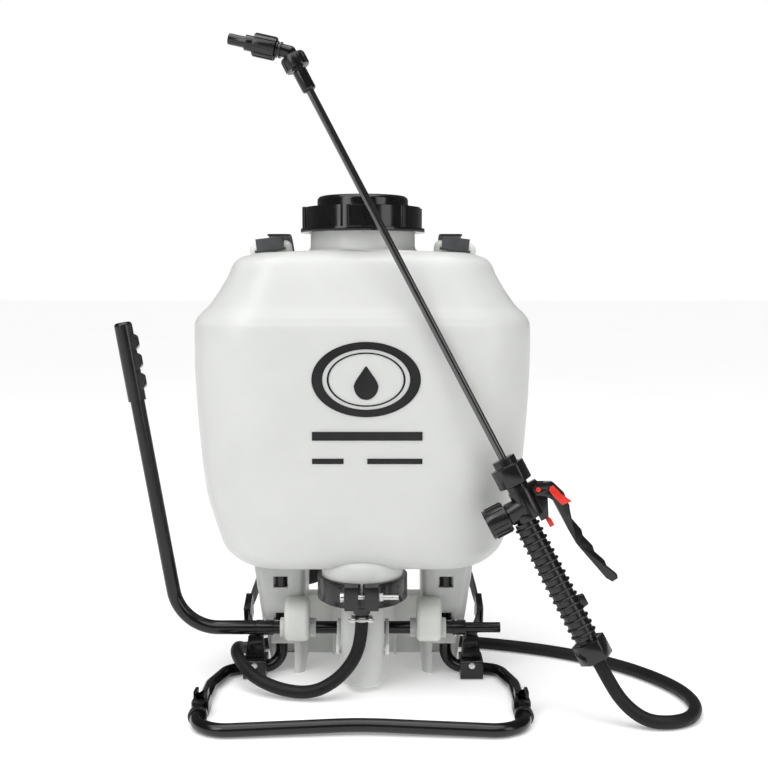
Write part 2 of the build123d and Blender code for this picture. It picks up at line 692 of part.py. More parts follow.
def nozzle_cap():
    cap = disc(11.2, 14.6, 37)
    for k in range(12):
        cap = cap + Rot(0, 0, 30 * k) * block(10.5, 11.9, -1.2, 1.2, 15.5, 36)
    cap = cap - disc(7.7, 10, 30.6) - disc(6.0, 25, 40)
    return GUN.location * NOZZLE.location * cap


def nozzle_tip():
    tip = disc(4.7, 27, 38) + disc(7.8, 37.3, 46) + disc(5.6, 46, 63.5)
    tip = soften(tip, tip.edges().group_by(Axis.Z)[-1], 1) - disc(1.0, 20, 70) - disc(2.6, 55, 70)
    return GUN.location * NOZZLE.location * tip


# ---- hose ---------------------------------------------------------------------------------
HOSE_START = tuple(GUN.from_local_coords((GRIP_OFFSET, 0, -162)))
HOSE_END = (0.0, OUTLET_Y, 91.9)
EXIT_RUN = Vector(*LANCE_DIR) * -26.0
HOSE_POINTS = (
    tuple(HOSE_START),
    tuple(Vector(*HOSE_START) + EXIT_RUN),
    (257, -156, 24),
    (278, -166, 9),
    (303, -167, 6.9),
    (327, -154, 6.9),
    (341, -122, 6.9),
    (338, -80, 6.9),
    (319, -38, 6.9),
    (288, 3, 6.9),
    (243, 40, 6.9),
    (193, 66, 6.9),
    (141, 84, 6.9),
    (86, 97, 6.9),
    (28, 102, 6.9),
    (-30, 100, 6.9),
    (-84, 101, 6.9),
    (-119, 82, 6.9),
    (-139.5, 47, 12),
    (-141.5, 7, 28),
    (-139, -32, 32),
    (-119, -66, 19),
    (-86, -84, 10),
    (-52, -90, 8.5),
    (-25, -90, 23),
    (-6, -87, 46),
    (0, OUTLET_Y, 72),
    HOSE_END,
)


def corner_radii(points):
    radii = []
    for before, here, after in zip(points, points[1:], points[2:]):
        a = Vector(*here) - Vector(*before)
        b = Vector(*after) - Vector(*here)
        radii.append(0.45 * min(a.length, b.length) / tan(radians(a.get_angle(b) / 2)))
    return radii


def hose():
    radii = corner_radii(HOSE_POINTS)
    path = FilletPolyline(*HOSE_POINTS, radius=radii)
    body = sweep(Plane(origin=path @ 0, z_dir=path % 0) * Circle(HOSE_D / 2), path=path)
    print("hose radii:", [round(r) for r in radii])
    ratio = body.volume / (path.length * pi * (HOSE_D / 2) ** 2)
    print("hose length", round(path.length, 1), "volume ratio", round(ratio, 4))
    return body - rod(HOSE_END, tuple(Vector(*HOSE_END) - Vector(0, 0, 17)), 5.32)


# ---- assembly -----------------------------------------------------------------------------
def all_parts():
    left_anchor = strap_anchor()
    left_clip = wand_clip()
    return {
        "tank_shell": tank_shell(),
        "filler_strainer": filler_strainer(),
        "filler_cap": filler_cap(),
        "cap_gasket": cap_gasket(),
        "pump_head": pump_head(),
        "pump_head_seal": pump_head_seal(),
        "band_clamp": band_clamp(),
        "clamp_bolt": clamp_bolt(),
        "clamp_nut": clamp_nut(),
        "piston_tube": piston_tube(),
        "piston_seal": piston_seal(),
        "pump_cylinder": pump_cylinder(),
        "trunnion_pins": trunnion_pins(),
        "crank_arms": crank_arms(),
        "pump_shaft": pump_shaft() - pin_at(-108, 1.64) - pin_at(102, 1.64),
        "pressure_chamber": pressure_chamber(),
        "inlet_screen": inlet_screen(),
        "outlet_barb": outlet_barb(),
        "hose_clamp": hose_clamp(),
        "base_skirt": base_skirt(),
        "left_bearing_block": bearing_block(-1),
        "right_bearing_block": bearing_block(1),
        "bearing_bushes": bearing_bushes(),
        "frame_tube": frame_tube(),
        "left_strap_anchor": left_anchor,
        "right_strap_anchor": mirror_x(left_anchor),
        "anchor_screws": anchor_screws(),
        "wand_clips": [left_clip, mirror_x(left_clip)],
        "strap_clips": [strap_clip(side) for side in SIDES],
        "upper_webbing": upper_webbing(),
        "left_shoulder_pad": shoulder_pad(-1),
        "right_shoulder_pad": shoulder_pad(1),
        "lower_webbing": lower_webbing(),
        "strap_buckles": strap_buckles(),
        "lever_tube": lever_tube(),
        "lever_grip": lever_grip(),
        "left_shaft_adapter": left_shaft_adapter(),
        "right_shaft_adapter": right_shaft_adapter(),
        "shaft_stub": shaft_stub(),
        "lever_pins": lever_pins(),
        "gun_body": gun_body(),
        "grip_shell": grip_shell(),
        "wand_nut": wand_nut(),
        "hose_nut": hose_nut(),
        "valve_cap": valve_cap(),
        "valve_spring": valve_spring(),
        "valve_stem": valve_stem(),
        "trigger_lever": trigger_lever(),
        "trigger_pin": trigger_pin(),
        "lock_pin": lock_pin(),
        "trigger_lock": trigger_lock(),
        "trigger_catch": trigger_catch(),
        "lance_tube": lance_tube(),
        "lance_ferrule": lance_ferrule(),
        "elbow": elbow(),
        "elbow_nut": elbow_nut(),
        "nozzle_cap": nozzle_cap(),
        "nozzle_tip": nozzle_tip(),
        "hose": hose(),
    }


def as_group(shape):
    """One shape, or a compound of separate pieces."""
    return Compound(shape) if isinstance(shape, list) else shape


def main():
    os.makedirs("parts", exist_ok=True)
    parts = {name: as_group(shape) for name, shape in all_parts().items()}
    box = Compound([part for name, part in parts.items() if name != "hose"]).bounding_box()
    centre = box.center()
    shift = Pos(-centre.X, -centre.Y, -box.min.Z)
    print("shift", round(-centre.X, 3), round(-centre.Y, 3), round(-box.min.Z, 3))
    for name, part in parts.items():
        export_step(shift * part, f"parts/{name}.step")


main()
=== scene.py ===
import json
from math import cos, exp, pi, radians, sin

import bpy
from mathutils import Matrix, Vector


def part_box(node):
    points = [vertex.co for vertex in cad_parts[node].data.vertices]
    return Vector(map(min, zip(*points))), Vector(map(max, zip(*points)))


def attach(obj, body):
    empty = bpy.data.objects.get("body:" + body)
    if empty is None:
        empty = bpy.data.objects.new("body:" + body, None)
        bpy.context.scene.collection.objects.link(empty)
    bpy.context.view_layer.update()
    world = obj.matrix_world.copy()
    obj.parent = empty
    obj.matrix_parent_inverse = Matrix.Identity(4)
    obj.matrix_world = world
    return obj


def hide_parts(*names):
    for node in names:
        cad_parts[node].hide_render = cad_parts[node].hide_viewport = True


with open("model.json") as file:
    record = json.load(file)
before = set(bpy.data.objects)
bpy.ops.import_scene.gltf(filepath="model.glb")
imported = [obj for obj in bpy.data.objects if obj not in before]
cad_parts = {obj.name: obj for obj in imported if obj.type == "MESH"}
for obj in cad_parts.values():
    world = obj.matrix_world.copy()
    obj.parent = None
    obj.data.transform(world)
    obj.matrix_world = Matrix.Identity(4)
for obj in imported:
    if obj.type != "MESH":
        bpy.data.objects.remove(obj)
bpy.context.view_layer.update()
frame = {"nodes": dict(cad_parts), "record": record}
NODES = frame["nodes"]
MM = 0.001

cap_low, cap_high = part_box("filler_cap")
AXIS = Vector(((cap_low.x + cap_high.x) / 2, (cap_low.y + cap_high.y) / 2, 0.0))


def at(x, y, z):
    """A point given in millimetres from the filler neck's axis at the floor."""
    return AXIS + Vector((x, y, z)) * MM


# ---- camera -------------------------------------------------------------------------------
def add_camera():
    data = bpy.data.cameras.new("camera")
    data.sensor_width = 36.0
    data.lens = 53.6
    data.clip_end = 30.0
    camera = bpy.data.objects.new("camera", data)
    camera.location = at(23, -1250, 434)
    camera.rotation_euler = (radians(85), 0, 0)
    bpy.context.scene.collection.objects.link(camera)
    bpy.context.scene.camera = camera


# ---- small modelling helpers --------------------------------------------------------------
def clear_selection():
    if bpy.context.object and bpy.context.object.mode != "OBJECT":
        bpy.ops.object.mode_set(mode="OBJECT")
    bpy.ops.object.select_all(action="DESELECT")


def activate(obj):
    clear_selection()
    obj.select_set(True)
    bpy.context.view_layer.objects.active = obj


def apply_all(obj):
    activate(obj)
    for modifier in list(obj.modifiers):
        bpy.ops.object.modifier_apply(modifier=modifier.name)


def settle(obj, name, material, smooth=35):
    """Names a finished piece, puts its place into its mesh and gives it its material."""
    activate(obj)
    bpy.ops.object.transform_apply(location=True, rotation=True, scale=True)
    obj.name = name
    obj.data.name = name
    obj.data.materials.clear()
    obj.data.materials.append(material)
    bpy.ops.object.shade_smooth_by_angle(angle=radians(smooth))
    return obj


def skin(rows, columns, place, around=True, size=(1.0, 1.0), ends=False):
    """A grid of quads laid over a surface: place(u, v) gives each point, u and v from 0 to 1."""
    clear_selection()
    bpy.ops.mesh.primitive_grid_add(x_subdivisions=columns, y_subdivisions=rows, size=1.0)
    obj = bpy.context.object
    for vertex in obj.data.vertices:
        u, v = vertex.co.x + 0.5, vertex.co.y + 0.5
        vertex.co = place(u, v)
    for loop in obj.data.uv_layers.active.data:
        loop.uv = (loop.uv[0] * size[0], loop.uv[1] * size[1])
    bpy.ops.object.mode_set(mode="EDIT")
    bpy.ops.mesh.select_all(action="SELECT")
    if around:
        bpy.ops.mesh.remove_doubles(threshold=0.00002)
    if ends:
        bpy.ops.mesh.select_all(action="DESELECT")
        bpy.ops.mesh.select_non_manifold(extend=False)
        bpy.ops.mesh.fill_holes(sides=0)
        bpy.ops.mesh.select_all(action="SELECT")
    bpy.ops.mesh.normals_make_consistent(inside=False)
    bpy.ops.object.mode_set(mode="OBJECT")
    return obj


def turned(profile, columns, centre, along=None, across=None, waves=None, ends=True):
    """A piece turned about an axis: profile is a list of (radius, height) in millimetres."""
    up = (along or Vector((0, 0, 1))).normalized()
    side = (across or Vector((1, 0, 0)))
    side = (side - up * side.dot(up)).normalized()
    third = up.cross(side)

    def place(u, v):
        spot = v * (len(profile) - 1)
        low = min(int(spot), len(profile) - 2)
        part = spot - low
        r = profile[low][0] * (1 - part) + profile[low + 1][0] * part
        z = profile[low][1] * (1 - part) + profile[low + 1][1] * part
        angle = 2 * pi * u
        if waves:
            r = r * waves(angle, z)
        return centre + (side * cos(angle) * r + third * sin(angle) * r + up * z) * MM

    return skin(len(profile) - 1, columns, place, ends=ends)


def smooth_line(points, count):
    """Points evenly spread along a smooth curve through the given ones."""
    out = []
    spans = len(points) - 1
    for i in range(count + 1):
        t = i / count * spans
        k = min(int(t), spans - 1)
        f = t - k
        p0 = points[max(k - 1, 0)]
        p1, p2 = points[k], points[k + 1]
        p3 = points[min(k + 2, spans)]
        out.append(0.5 * (2 * p1 + (p2 - p0) * f + (2 * p0 - 5 * p1 + 4 * p2 - p3) * f * f
                          + (3 * p1 - p0 - 3 * p2 + p3) * f ** 3))
    return out


# ---- materials ----------------------------------------------------------------------------
def new_material(name):
    material = bpy.data.materials.new(name)
    material.use_nodes = True
    tree = material.node_tree
    return material, tree, tree.nodes["Principled BSDF"]


def noise(tree, scale, detail=4.0, rough=0.55, stretch=(1, 1, 1), coords="Object"):
    where = tree.nodes.new("ShaderNodeTexCoord")
    mapping = tree.nodes.new("ShaderNodeMapping")
    mapping.inputs["Scale"].default_value = stretch
    texture = tree.nodes.new("ShaderNodeTexNoise")
    texture.inputs["Scale"].default_value = scale
    texture.inputs["Detail"].default_value = detail
    texture.inputs["Roughness"].default_value = rough
    tree.links.new(where.outputs[coords], mapping.inputs["Vector"])
    tree.links.new(mapping.outputs["Vector"], texture.inputs["Vector"])
    return texture.outputs["Fac"]


def ramp(tree, source, stops):
    node = tree.nodes.new("ShaderNodeValToRGB")
    while len(node.color_ramp.elements) < len(stops):
        node.color_ramp.elements.new(0.5)
    for element, (spot, colour) in zip(node.color_ramp.elements, stops):
        element.position = spot
        element.color = (*colour, 1.0) if len(colour) == 3 else colour
    tree.links.new(source, node.inputs["Fac"])
    return node.outputs["Color"]


def span(tree, source, low, high, start=0.3, end=0.7):
    node = tree.nodes.new("ShaderNodeMapRange")
    node.inputs["From Min"].default_value = start
    node.inputs["From Max"].default_value = end
    node.inputs["To Min"].default_value = low
    node.inputs["To Max"].default_value = high
    tree.links.new(source, node.inputs["Value"])
    return node.outputs["Result"]


def bump(tree, shader, heights):
    """Bumps from (height, strength, distance in metres), one over another."""
    last = None
    for height, strength, distance in heights:
        node = tree.nodes.new("ShaderNodeBump")
        node.inputs["Strength"].default_value = strength
        node.inputs["Distance"].default_value = distance
        tree.links.new(height, node.inputs["Height"])
        if last:
            tree.links.new(last, node.inputs["Normal"])
        last = node.outputs["Normal"]
    tree.links.new(last, shader.inputs["Normal"])


def natural_poly(name, dark, light, scatter=0.55):
    """Translucent natural polyethylene: faint flow marks, soft shine, light carried inside."""
    material, tree, shader = new_material(name)
    cloud = noise(tree, 9, 3)
    tree.links.new(ramp(tree, cloud, [(0.3, dark), (0.7, light)]), shader.inputs["Base Color"])
    tree.links.new(span(tree, noise(tree, 30, 5), 0.30, 0.44), shader.inputs["Roughness"])
    shader.inputs["Subsurface Weight"].default_value = scatter
    shader.inputs["Subsurface Radius"].default_value = (1.0, 1.0, 0.95)
    shader.inputs["Subsurface Scale"].default_value = 0.02
    shader.inputs["IOR"].default_value = 1.5
    grain = noise(tree, 900, 2)
    bump(tree, shader, [(noise(tree, 14, 2), 0.10, 0.002), (grain, 0.05, 0.0003)])
    return material


def plastic(name, dark, light, rough_low, rough_high, grain_scale=1400, grain=0.12, coat=0.0, shine=0.3):
    """Moulded plastic: fine grain, patchy shine and dust-light flecks."""
    material, tree, shader = new_material(name)
    cloud = noise(tree, 60, 6, 0.65)
    tree.links.new(ramp(tree, cloud, [(0.35, dark), (0.75, light)]), shader.inputs["Base Color"])
    tree.links.new(span(tree, noise(tree, 35, 5), rough_low, rough_high), shader.inputs["Roughness"])
    shader.inputs["Specular IOR Level"].default_value = shine
    shader.inputs["Coat Weight"].default_value = coat
    shader.inputs["Coat Roughness"].default_value = 0.12
    bump(tree, shader, [(noise(tree, grain_scale, 3), grain, 0.0002), (noise(tree, 25, 2), 0.05, 0.0008)])
    return material


def coated_steel(name):
    material, tree, shader = new_material(name)
    cloud = noise(tree, 40, 5)
    tree.links.new(ramp(tree, cloud, [(0.35, (0.003, 0.003, 0.0032)), (0.8, (0.008, 0.008, 0.0083))]),
                   shader.inputs["Base Color"])
    tree.links.new(span(tree, noise(tree, 22, 4), 0.14, 0.24), shader.inputs["Roughness"])
    shader.inputs["Specular IOR Level"].default_value = 0.36
    shader.inputs["Coat Weight"].default_value = 0.12
    shader.inputs["Coat Roughness"].default_value = 0.12
    bump(tree, shader, [(noise(tree, 420, 3), 0.16, 0.0003)])
    return material


def zinc(name):
    material, tree, shader = new_material(name)
    cloud = noise(tree, 120, 6, 0.7)
    tree.links.new(ramp(tree, cloud, [(0.3, (0.46, 0.46, 0.45)), (0.7, (0.74, 0.73, 0.7))]),
                   shader.inputs["Base Color"])
    shader.inputs["Metallic"].default_value = 1.0
    tree.links.new(span(tree, noise(tree, 200, 4), 0.2, 0.42), shader.inputs["Roughness"])
    bump(tree, shader, [(noise(tree, 700, 3, stretch=(1, 1, 6)), 0.15, 0.0002)])
    return material


def hose_rubber(name):
    material, tree, shader = new_material(name)
    cloud = noise(tree, 45, 6, 0.6)
    tree.links.new(ramp(tree, cloud, [(0.3, (0.006, 0.006, 0.0065)), (0.75, (0.013, 0.013, 0.0135))]),
                   shader.inputs["Base Color"])
    tree.links.new(span(tree, noise(tree, 90, 4), 0.42, 0.6), shader.inputs["Roughness"])
    shader.inputs["Specular IOR Level"].default_value = 0.22
    bump(tree, shader, [(noise(tree, 1300, 4), 0.25, 0.0003), (noise(tree, 30, 2), 0.06, 0.001)])
    return material


def woven(name, dark, light, pitch, sheen=0.3):
    """Cloth: crossed yarns on the piece's own map, which is in metres."""
    material, tree, shader = new_material(name)
    where = tree.nodes.new("ShaderNodeUVMap")
    heights = []
    for direction in ("X", "Y"):
        wave = tree.nodes.new("ShaderNodeTexWave")
        wave.bands_direction = direction
        wave.inputs["Scale"].default_value = 0.314 / pitch
        wave.inputs["Distortion"].default_value = 0.4
        tree.links.new(where.outputs["UV"], wave.inputs["Vector"])
        heights.append(wave.outputs["Fac"])
    both = tree.nodes.new("ShaderNodeMath")
    both.operation = "MULTIPLY"
    tree.links.new(heights[0], both.inputs[0])
    tree.links.new(heights[1], both.inputs[1])
    fuzz = tree.nodes.new("ShaderNodeMath")
    fuzz.operation = "MULTIPLY_ADD"
    fuzz.inputs[1].default_value = 0.35
    tree.links.new(noise(tree, 260, 5), fuzz.inputs[0])
    tree.links.new(both.outputs["Value"], fuzz.inputs[2])
    tree.links.new(ramp(tree, fuzz.outputs["Value"], [(0.1, dark), (0.9, light)]),
                   shader.inputs["Base Color"])
    shader.inputs["Roughness"].default_value = 0.85
    shader.inputs["Sheen Weight"].default_value = sheen
    shader.inputs["Sheen Roughness"].default_value = 0.5
    bump(tree, shader, [(both.outputs["Value"], 0.6, pitch * 0.35), (noise(tree, 35, 3), 0.12, 0.002)])
    return material


def floor_paint(name):
    material, tree, shader = new_material(name)
    cloud = noise(tree, 1.5, 2)
    tree.links.new(ramp(tree, cloud, [(0.2, (0.9, 0.9, 0.9)), (0.8, (0.93, 0.93, 0.93))]),
                   shader.inputs["Base Color"])
    shader.inputs["Roughness"].default_value = 0.8
    shader.inputs["Specular IOR Level"].default_value = 0.1
    shader.inputs["Emission Color"].default_value = (1, 1, 1, 1)
    shader.inputs["Emission Strength"].default_value = 0.21
    return material


POLY = natural_poly("natural_poly", (0.70, 0.715, 0.68), (0.77, 0.785, 0.75))
GLOSS = plastic("black_gloss", (0.004, 0.004, 0.0045), (0.009, 0.009, 0.0095), 0.10, 0.2, 1200, 0.05, 0.3)
SATIN = plastic("black_satin", (0.004, 0.004, 0.0042), (0.008, 0.008, 0.0083), 0.17, 0.28, shine=0.5)
GREY = plastic("dark_grey", (0.045, 0.047, 0.05), (0.07, 0.072, 0.076), 0.34, 0.5)
RED = plastic("signal_red", (0.60, 0.02, 0.012), (0.75, 0.035, 0.02), 0.25, 0.4, shine=0.5)
INK = plastic("printed_ink", (0.008, 0.008, 0.009), (0.014, 0.014, 0.015), 0.35, 0.5, 600, 0.1)
LANCE = plastic("lance_gloss", (0.006, 0.006, 0.0065), (0.012, 0.012, 0.0125), 0.10, 0.18, 500, 0.08,
                coat=1.0, shine=0.8)
STEEL = coated_steel("black_coat")
ZINC = zinc("zinc_plate")
HOSE = hose_rubber("hose_rubber")
SEAL = hose_rubber("seal_rubber")
WEB = woven("webbing_weave", (0.006, 0.006, 0.007), (0.035, 0.035, 0.037), 0.0016)
PAD = woven("pad_cloth", (0.012, 0.012, 0.014), (0.05, 0.05, 0.054), 0.0009)
TAPE = woven("edge_tape", (0.008, 0.008, 0.009), (0.03, 0.03, 0.032), 0.0011)
THREAD = woven("thread", (0.09, 0.09, 0.095), (0.2, 0.2, 0.21), 0.0008)

SLOT_LOOK = {
    "natural_poly": POLY, "black_gloss": GLOSS, "black_satin": SATIN, "black_steel": STEEL,
    "hose_rubber": HOSE, "zinc_steel": ZINC, "red_plastic": RED, "grey_plastic": GREY,
    "webbing": WEB, "pad_fabric": PAD, "seal_rubber": SEAL,
}
EDGE = {
    "gun_body": 0.6, "trigger_lever": 0.5, "band_clamp": 0.7, "wand_clips": 0.5, "strap_clips": 0.7,
    "left_strap_anchor": 0.7, "right_strap_anchor": 0.7, "wand_nut": 0.7, "hose_nut": 0.7,
    "valve_cap": 0.4, "elbow_nut": 0.4, "nozzle_cap": 0.4, "nozzle_tip": 0.4, "crank_arms": 0.5,
    "strap_buckles": 0.4, "base_skirt": 0.9, "trigger_lock": 0.3, "trigger_catch": 0.3,
    "left_shaft_adapter": 0.5, "right_shaft_adapter": 0.5, "clamp_nut": 0.2, "clamp_bolt": 0.2,
    "filler_cap": 0.5, "left_bearing_block": 0.8, "right_bearing_block": 0.8, "bearing_bushes": 0.5,
    "pump_cylinder": 0.8, "lance_ferrule": 0.4, "elbow": 0.3, "anchor_screws": 0.3,
}


def body_with(node):
    for body, nodes in frame["record"]["behaviour"]["bodies"].items():
        if node in nodes:
            return body
    return "root"


def soften(node, width, look):
    """A copy of a CAD node whose corners are rounded over by a moulder's small radius."""
    clear_selection()
    source = NODES[node]
    piece = bpy.data.objects.new(node + "_moulding", source.data.copy())
    piece.matrix_world = source.matrix_world.copy()
    bpy.context.scene.collection.objects.link(piece)
    activate(piece)
    bpy.ops.object.mode_set(mode="EDIT")
    bpy.ops.mesh.select_all(action="SELECT")
    bpy.ops.mesh.remove_doubles(threshold=0.00001)
    bpy.ops.mesh.dissolve_limited(angle_limit=radians(0.6))
    bpy.ops.object.mode_set(mode="OBJECT")
    edge = piece.modifiers.new("edge", "BEVEL")
    edge.width = width * MM
    edge.segments = 2
    edge.limit_method = "ANGLE"
    edge.angle_limit = radians(38)
    edge.use_clamp_overlap = True
    bpy.ops.object.modifier_apply(modifier="edge")
    settle(piece, node + "_moulding", look, 32)
    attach(piece, body_with(node))
    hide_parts(node)


def dress_cad_nodes():
    """Every CAD node gets its slot's material; hard-edged mouldings are softened as well."""
    for part in frame["record"]["subparts"]:
        look = SLOT_LOOK[part["material_slot"]]
        if part["node"] in EDGE:
            soften(part["node"], EDGE[part["node"]], look)
        else:
            NODES[part["node"]].data.materials.clear()
            NODES[part["node"]].data.materials.append(LANCE if part["node"] == "lance_tube" else look)


# ---- hose ---------------------------------------------------------------------------------
LANCE_DIR = Vector((-0.4633, 0.0969, 0.8809)).normalized()
GUN_X = Vector((0.885, 0, 0.4655))
GUN_X = (GUN_X - LANCE_DIR * GUN_X.dot(LANCE_DIR)).normalized()
GUN_Y = LANCE_DIR.cross(GUN_X)
GUN_SPOT = Vector((163.8, -127.8, 218.0))
GRIP_OFFSET = -9.5
HOSE_D = 13.5


def gun(x, y, z):
    """A point of the gun's own frame, in millimetres: z up the lance, x towards the trigger."""
    spot = GUN_SPOT + GUN_X * x + GUN_Y * y + LANCE_DIR * z
    return at(*spot)


HOSE_ROUTE = [
    gun(GRIP_OFFSET, 0, -162), gun(GRIP_OFFSET, 0, -188),
    at(257, -156, 24), at(278, -166, 9), at(303, -167, 6.9), at(327, -154, 6.9), at(341, -122, 6.9),
    at(338, -80, 6.9), at(319, -38, 6.9), at(288, 3, 6.9), at(243, 40, 6.9), at(193, 66, 6.9),
    at(141, 84, 6.9), at(86, 97, 6.9), at(28, 102, 6.9), at(-30, 100, 6.9), at(-84, 101, 6.9),
    at(-119, 82, 6.9), at(-139.5, 47, 12), at(-141.5, 7, 28), at(-139, -32, 32), at(-119, -66, 19),
    at(-86, -84, 10), at(-52, -90, 8.5), at(-25, -90, 23), at(-6, -87, 46), at(0, -83.5, 72),
    at(0, -83.5, 91.9),
]


def make_hose():
    curve = bpy.data.curves.new("hose_line", "CURVE")
    curve.dimensions = "3D"
    curve.bevel_depth = HOSE_D / 2 * MM
    curve.bevel_resolution = 8
    curve.resolution_u = 10
    curve.use_fill_caps = True
    spline = curve.splines.new("NURBS")
    spline.points.add(len(HOSE_ROUTE) - 1)
    for point, spot in zip(spline.points, HOSE_ROUTE):
        point.co = (*spot, 1.0)
    spline.order_u = 3
    spline.use_endpoint_u = True
    obj = bpy.data.objects.new("delivery_hose", curve)
    bpy.context.scene.collection.objects.link(obj)
    curve.materials.append(HOSE)
    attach(obj, "root")
    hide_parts("hose")


add_camera()
make_hose()
dress_cad_nodes()


# ---- tank ---------------------------------------------------------------------------------
PUMP_Y = -47.5

# height, half width, front, back and corner radius of each section, from the bottom
TANK_SECTIONS = (
    (134, 120, -64, 44, 42), (137, 130, -76, 54, 50), (142.5, 138, -84, 62, 56), (148, 144, -88.5, 67, 60),
    (154.5, 149, -91.5, 70.5, 62), (164, 153, -94, 74, 65), (180, 158, -97, 77, 67),
    (214, 167.5, -100, 80, 70), (274, 174, -102, 82, 72), (340, 178, -103, 83, 74),
    (384, 178.5, -101, 82, 74), (396, 176.8, -98.5, 80.5, 73), (404, 171, -95.5, 78, 71),
    (411, 163.5, -92.5, 75, 68), (424, 154, -88, 70, 64), (442, 143, -82, 64, 58),
    (456, 136.5, -76, 59, 53), (463, 127, -69, 56.5, 50), (467, 110, -62, 55, 46),
)


def rounded_outline(half, front, back, corner, u):
    """A point on a rounded rectangle: half of each quarter turn is spent in a corner."""
    width, depth = half - corner, (back - front) / 2 - corner
    middle = (front + back) / 2
    turn = u * 4
    side = int(turn) % 4
    part = turn - int(turn)
    signs = ((1, 1), (-1, 1), (-1, -1), (1, -1))[side]
    if part < 0.5:
        angle = side * pi / 2 + part * 2 * pi / 2
        return (signs[0] * width + corner * cos(angle), middle + signs[1] * depth + corner * sin(angle))
    slide = (part - 0.5) * 2
    ahead = ((1, 1), (-1, 1), (-1, -1), (1, -1))[(side + 1) % 4]
    angle = (side + 1) * pi / 2
    x = signs[0] * width * (1 - slide) + ahead[0] * width * slide + corner * cos(angle)
    y = (signs[1] * (1 - slide) + ahead[1] * slide) * depth + middle + corner * sin(angle)
    return (x, y)


def section_at(spot):
    """Smoothly blended tank section; spot counts the sections from the bottom."""
    last = len(TANK_SECTIONS) - 1
    k = min(int(spot), last - 1)
    f = spot - k
    rows = [TANK_SECTIONS[min(max(k + step, 0), last)] for step in (-1, 0, 1, 2)]
    values = []
    for p0, p1, p2, p3 in zip(*rows):
        values.append(0.5 * (2 * p1 + (p2 - p0) * f + (2 * p0 - 5 * p1 + 4 * p2 - p3) * f * f
                             + (3 * p1 - p0 - 3 * p2 + p3) * f ** 3))
    return values


def make_tank():
    body_rows = 6 * (len(TANK_SECTIONS) - 1)
    sole_rows = 10
    neck_profile = ((59.5, 469.6), (57.3, 471.5), (56.4, 475), (56.4, 492.6), (57.7, 493.2),
                    (57.7, 495.6), (56.4, 496.4), (56.4, 500), (57.7, 500.7), (57.7, 503),
                    (56.4, 503.8), (56.4, 506.4), (55.6, 507))
    rows = sole_rows + body_rows + len(neck_profile)

    def place(u, v):
        row = round(v * rows)
        if row < sole_rows:
            z, half, front, back, corner = TANK_SECTIONS[0]
            grow = row / sole_rows
            x, y = rounded_outline(half, front, back, corner, u)
            middle = (front + back) / 2
            return at(x * grow, middle + (y - middle) * grow, z - 0.8 * (1 - grow))
        if row <= sole_rows + body_rows:
            spot = (row - sole_rows) / body_rows * (len(TANK_SECTIONS) - 1)
            z, half, front, back, corner = section_at(spot)
            x, y = rounded_outline(half, front, back, corner, u)
            return at(x, y, z)
        r, z = neck_profile[row - sole_rows - body_rows - 1]
        return at(r * cos(2 * pi * u), r * sin(2 * pi * u), z)

    tank = skin(rows, 168, place)
    shell = tank.modifiers.new("wall", "SOLIDIFY")
    shell.thickness = 3.0 * MM
    shell.offset = -1.0
    apply_all(tank)
    settle(tank, "tank", POLY, 60)
    ears = [make_ear(side) for side in (-1, 1)]
    throat = turned([(43.4, 108.5), (43.4, 139), (42.8, 142), (41.2, 145), (38.5, 147.5), (36, 148.5),
                     (36, 146.5), (38, 144), (40.4, 139), (40.4, 108.5)], 96, at(0, PUMP_Y, 0), ends=False)
    close_loop(throat)
    settle(throat, "tank_throat", POLY, 40)
    for piece in [tank, throat] + ears:
        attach(piece, "root")
    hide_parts("tank_shell")
    return tank


def close_loop(obj):
    """Bridges the first and last rows of a turned ring, so that it is closed."""
    activate(obj)
    bpy.ops.object.mode_set(mode="EDIT")
    bpy.ops.mesh.select_all(action="DESELECT")
    bpy.ops.mesh.select_non_manifold(extend=False)
    bpy.ops.mesh.bridge_edge_loops()
    bpy.ops.mesh.select_all(action="SELECT")
    bpy.ops.mesh.normals_make_consistent(inside=False)
    bpy.ops.object.mode_set(mode="OBJECT")


def make_ear(side):
    """Rounded lug on the shoulder behind each strap clip."""
    clear_selection()
    bpy.ops.mesh.primitive_cube_add(size=1.0)
    ear = bpy.context.object
    ear.scale = (46 * MM, 16 * MM, 30 * MM)
    bpy.ops.object.transform_apply(location=False, rotation=False, scale=True)
    bevel = ear.modifiers.new("corner", "BEVEL")
    bevel.width = 7.4 * MM
    bevel.segments = 6
    bevel.limit_method = "ANGLE"
    apply_all(ear)
    ear.rotation_euler = (0, radians(7.0 * side), 0)
    ear.location = at(side * 100, 13.5, 465.2)
    return settle(ear, ("left" if side < 0 else "right") + "_tank_ear", POLY, 40)


make_tank()


# ---- printed marks ------------------------------------------------------------------------
FRONT_STEPS = [section_at(k / 20) for k in range(20 * (len(TANK_SECTIONS) - 1) + 1)]


def front_y(z):
    """The tank's front face at height z."""
    for low, high in zip(FRONT_STEPS, FRONT_STEPS[1:]):
        if low[0] <= z <= high[0]:
            part = (z - low[0]) / (high[0] - low[0])
            return low[2] * (1 - part) + high[2] * part
    return FRONT_STEPS[-1][2]


PRINT_LIFT = 0.3
MARK_X = 5.0
MARK_Z = 338.0


def on_front(x, z):
    return at(x, front_y(z) - PRINT_LIFT, z)


def printed(name, columns, rows, place, look):
    """A thin printed patch on the tank's front face."""
    patch = skin(rows, columns, place, around=True)
    thick = patch.modifiers.new("ink", "SOLIDIFY")
    thick.thickness = 0.2 * MM
    thick.offset = 0.0
    apply_all(patch)
    settle(patch, name, look, 40)
    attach(patch, "root")
    return patch


